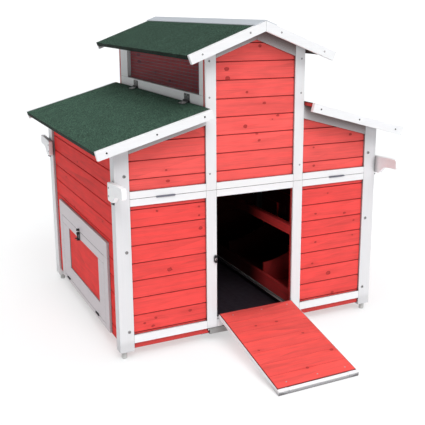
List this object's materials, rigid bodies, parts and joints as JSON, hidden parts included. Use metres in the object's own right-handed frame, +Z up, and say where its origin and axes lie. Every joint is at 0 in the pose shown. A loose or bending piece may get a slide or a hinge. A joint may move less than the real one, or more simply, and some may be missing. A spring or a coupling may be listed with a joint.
{
  "type": "chicken coop",
  "caption": "Wooden hen house with a raised gabled middle, two lean-to nest wings under hinged felted lids, a fold-down ramp door, side egg hatches and a pull-out droppings tray.",
  "frame": {"origin": "centre of the bounding box in plan, at ground level under the feet, with the ramp lowered to the ground", "axes": "+Z up; +Y towards the rear of the coop, so the door and ramp face -Y; +X to the right seen from the front"},
  "size_m": [1.2202, 1.5002, 1.1675],
  "materials": {
    "white_trim": "white painted timber, satin",
    "handle_wood": "white painted board, satin",
    "red_planks": "red stained tongue and groove pine, satin",
    "roof_boards": "red stained boards, satin",
    "hatch_panels": "red stained panel, satin",
    "ramp_boards": "red stained boards, satin",
    "inner_red_wood": "red stained boards, matt",
    "roofing_felt": "dark green mineral felt, granular matt",
    "ridge_metal": "off-white painted sheet",
    "wire_mesh": "galvanised welded wire",
    "tray_sheet": "galvanised sheet",
    "bright_metal": "zinc plated",
    "screw_metal": "zinc plated",
    "dark_hardware": "black coated steel",
    "foot_plastic": "grey rubber"
  },
  "bodies": {
    "coop": {"posts_front": "white_trim", "posts_rear": "white_trim", "door_posts": "white_trim", "tower_posts": "white_trim", "bottom_rails": "white_trim", "door_sill": "white_trim", "mid_rails_lower": "white_trim", "door_header": "white_trim", "mid_rails_upper": "white_trim", "gable_trim_front": "white_trim", "rear_trim": "white_trim", "front_planks_lower_left": "red_planks", "front_planks_lower_right": "red_planks", "front_planks_upper_left": "red_planks", "front_planks_upper_right": "red_planks", "front_planks_tower": "red_planks", "side_planks_left": "red_planks", "side_planks_right": "red_planks", "rear_planks_lower": "red_planks", "rear_planks_upper": "red_planks", "window_frame_left": "white_trim", "window_frame_right": "white_trim", "window_mesh_left": "wire_mesh", "window_mesh_right": "wire_mesh", "hatch_surrounds": "white_trim", "tower_roof_boards": "roof_boards", "tower_felt": "roofing_felt", "tower_barges": "white_trim", "ridge_cap": "ridge_metal", "nest_floors": "inner_red_wood", "floor_bearers": "white_trim", "nest_boards": "inner_red_wood", "nest_dividers": "inner_red_wood", "perches": "inner_red_wood", "carry_handles": "handle_wood", "feet": "foot_plastic", "frame_screws": "screw_metal", "fold_hinges": "bright_metal", "fixed_hinge_leaves": "dark_hardware"},
    "lid_left": {"lid_board_left": "roof_boards", "lid_felt_left": "roofing_felt", "lid_barges_left": "white_trim", "lid_hardware_left": "dark_hardware"},
    "lid_right": {"lid_board_right": "roof_boards", "lid_felt_right": "roofing_felt", "lid_barges_right": "white_trim", "lid_hardware_right": "dark_hardware"},
    "hatch_left": {"hatch_frame_left": "white_trim", "hatch_panel_left": "hatch_panels", "hatch_hardware_left": "dark_hardware"},
    "hatch_right": {"hatch_frame_right": "white_trim", "hatch_panel_right": "hatch_panels", "hatch_hardware_right": "dark_hardware"},
    "bolt_left": {"bolt_left": "dark_hardware"},
    "bolt_right": {"bolt_right": "dark_hardware"},
    "ramp": {"ramp_frame": "white_trim", "ramp_boards": "ramp_boards", "ramp_hinges": "dark_hardware"},
    "tray": {"tray": "tray_sheet"},
    "turn_button": {"turn_button": "bright_metal"}
  },
  "joints": [
    {"name": "ramp_hinge", "type": "hinge", "parent": "coop", "child": "ramp", "pos_m": [0, -0.29271, 0.0903], "axis": [-1, 0, 0], "range_deg": [0, 101.7]},
    {"name": "lid_left_hinge", "type": "hinge", "parent": "coop", "child": "lid_left", "pos_m": [-0.20105, 0.15779, 0.87962], "axis": [0, 1, 0], "range_deg": [0, 65]},
    {"name": "lid_right_hinge", "type": "hinge", "parent": "coop", "child": "lid_right", "pos_m": [0.20105, 0.15779, 0.87962], "axis": [0, -1, 0], "range_deg": [0, 65]},
    {"name": "hatch_left_hinge", "type": "hinge", "parent": "coop", "child": "hatch_left", "pos_m": [-0.5325, 0.20129, 0.076], "axis": [0, -1, 0], "range_deg": [0, 100]},
    {"name": "hatch_right_hinge", "type": "hinge", "parent": "coop", "child": "hatch_right", "pos_m": [0.5325, 0.20129, 0.076], "axis": [0, 1, 0], "range_deg": [0, 100]},
    {"name": "bolt_left_slide", "type": "slide", "parent": "hatch_left", "child": "bolt_left", "axis": [0, 0, 1], "range_m": [0, 0.012]},
    {"name": "bolt_right_slide", "type": "slide", "parent": "hatch_right", "child": "bolt_right", "axis": [0, 0, 1], "range_m": [0, 0.012]},
    {"name": "tray_slide", "type": "slide", "parent": "coop", "child": "tray", "axis": [0, 1, 0], "range_m": [0, 0.8]},
    {"name": "turn_button_pivot", "type": "hinge", "parent": "coop", "child": "turn_button", "pos_m": [-0.164, -0.29411, 0.324], "axis": [0, -1, 0], "range_deg": [0, 90]}
  ]
}
